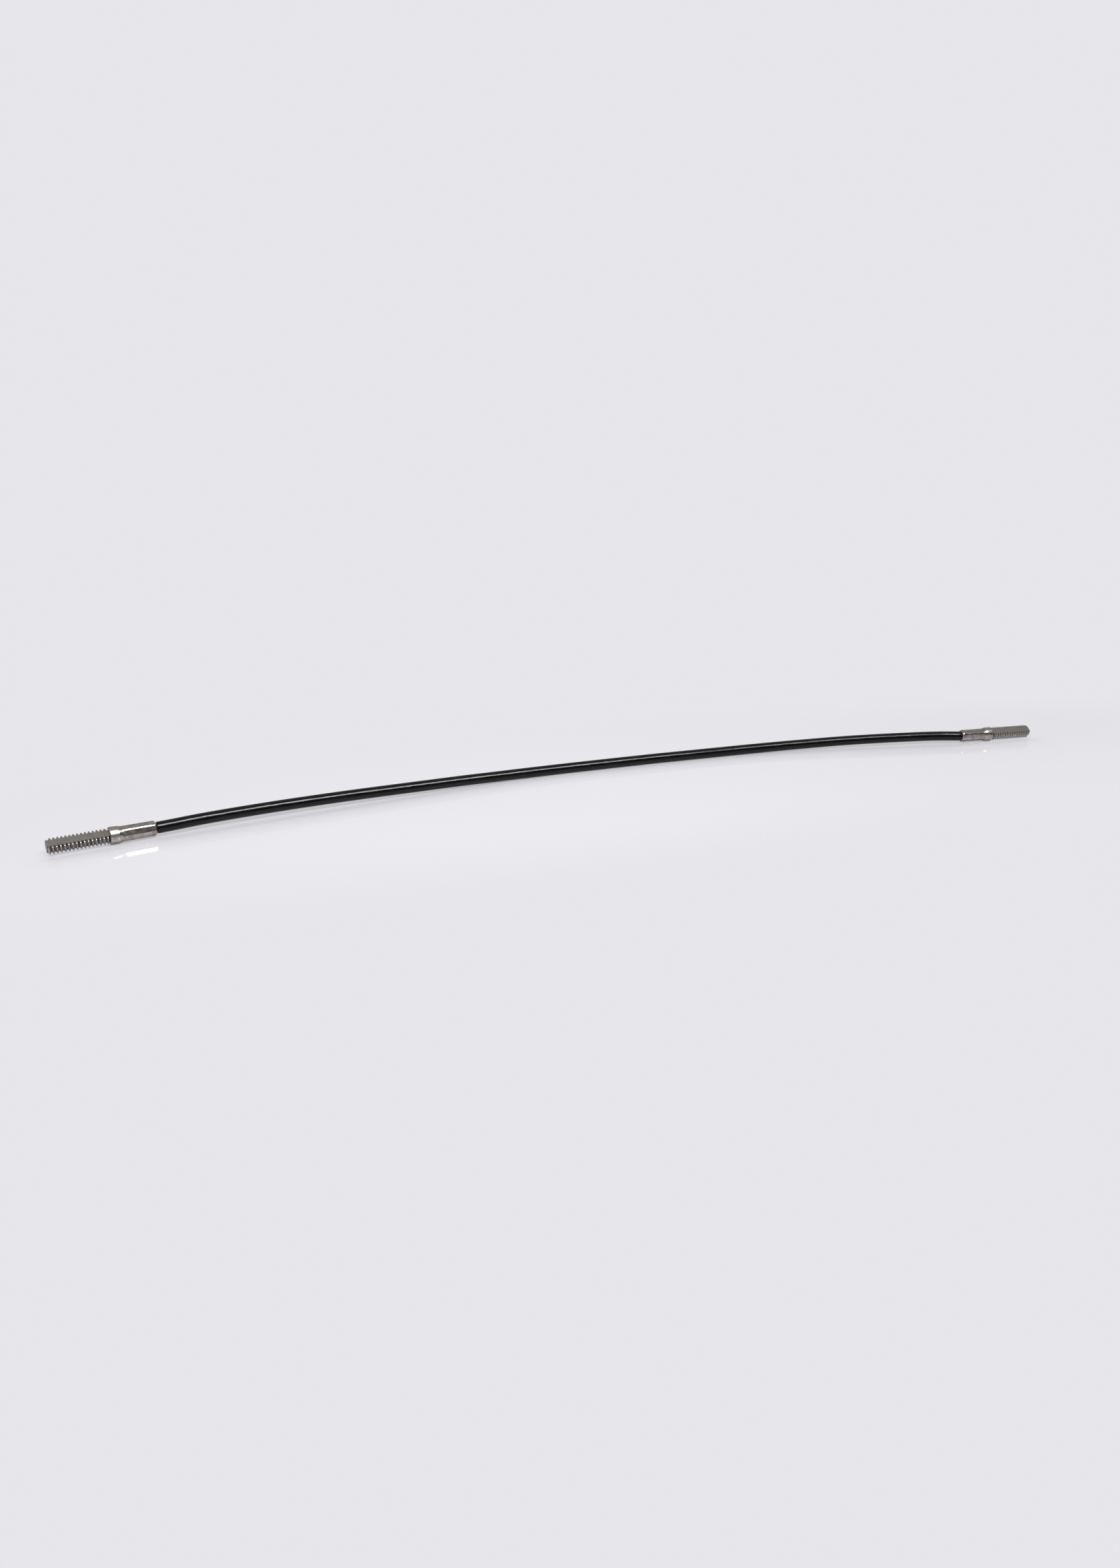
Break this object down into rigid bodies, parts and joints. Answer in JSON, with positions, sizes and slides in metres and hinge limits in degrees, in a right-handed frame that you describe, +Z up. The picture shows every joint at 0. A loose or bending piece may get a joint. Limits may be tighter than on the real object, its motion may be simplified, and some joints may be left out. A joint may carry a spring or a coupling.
{
  "type": "flexible cable link with threaded studs",
  "caption": "Flexible jacketed wire cable with a flatted threaded stud crimped on each end, lying in a shallow bow.",
  "frame": {"origin": "bottom centre of the box round the two studs: midway between their tips to 0.2 mm, on the surface that the link lies on", "axes": "+X from the left stud to the right one, +Y towards the side that the cable bows to, +Z up"},
  "size_m": [0.3566, 0.0257, 0.0053],
  "materials": {
    "stud_steel": "turned and milled stainless steel, bright",
    "wire_steel": "drawn stainless steel wire",
    "jacket_black": "extruded black PVC, smooth gloss"
  },
  "bodies": {
    "root": {"left_stud": "stud_steel", "right_stud": "stud_steel", "jacket": "jacket_black", "core_wire": "wire_steel", "inner_wire_1": "wire_steel", "inner_wire_2": "wire_steel", "inner_wire_3": "wire_steel", "inner_wire_4": "wire_steel", "inner_wire_5": "wire_steel", "inner_wire_6": "wire_steel", "outer_wire_1": "wire_steel", "outer_wire_2": "wire_steel", "outer_wire_3": "wire_steel", "outer_wire_4": "wire_steel", "outer_wire_5": "wire_steel", "outer_wire_6": "wire_steel", "outer_wire_7": "wire_steel", "outer_wire_8": "wire_steel", "outer_wire_9": "wire_steel", "outer_wire_10": "wire_steel", "outer_wire_11": "wire_steel", "outer_wire_12": "wire_steel"}
  },
  "joints": []
}
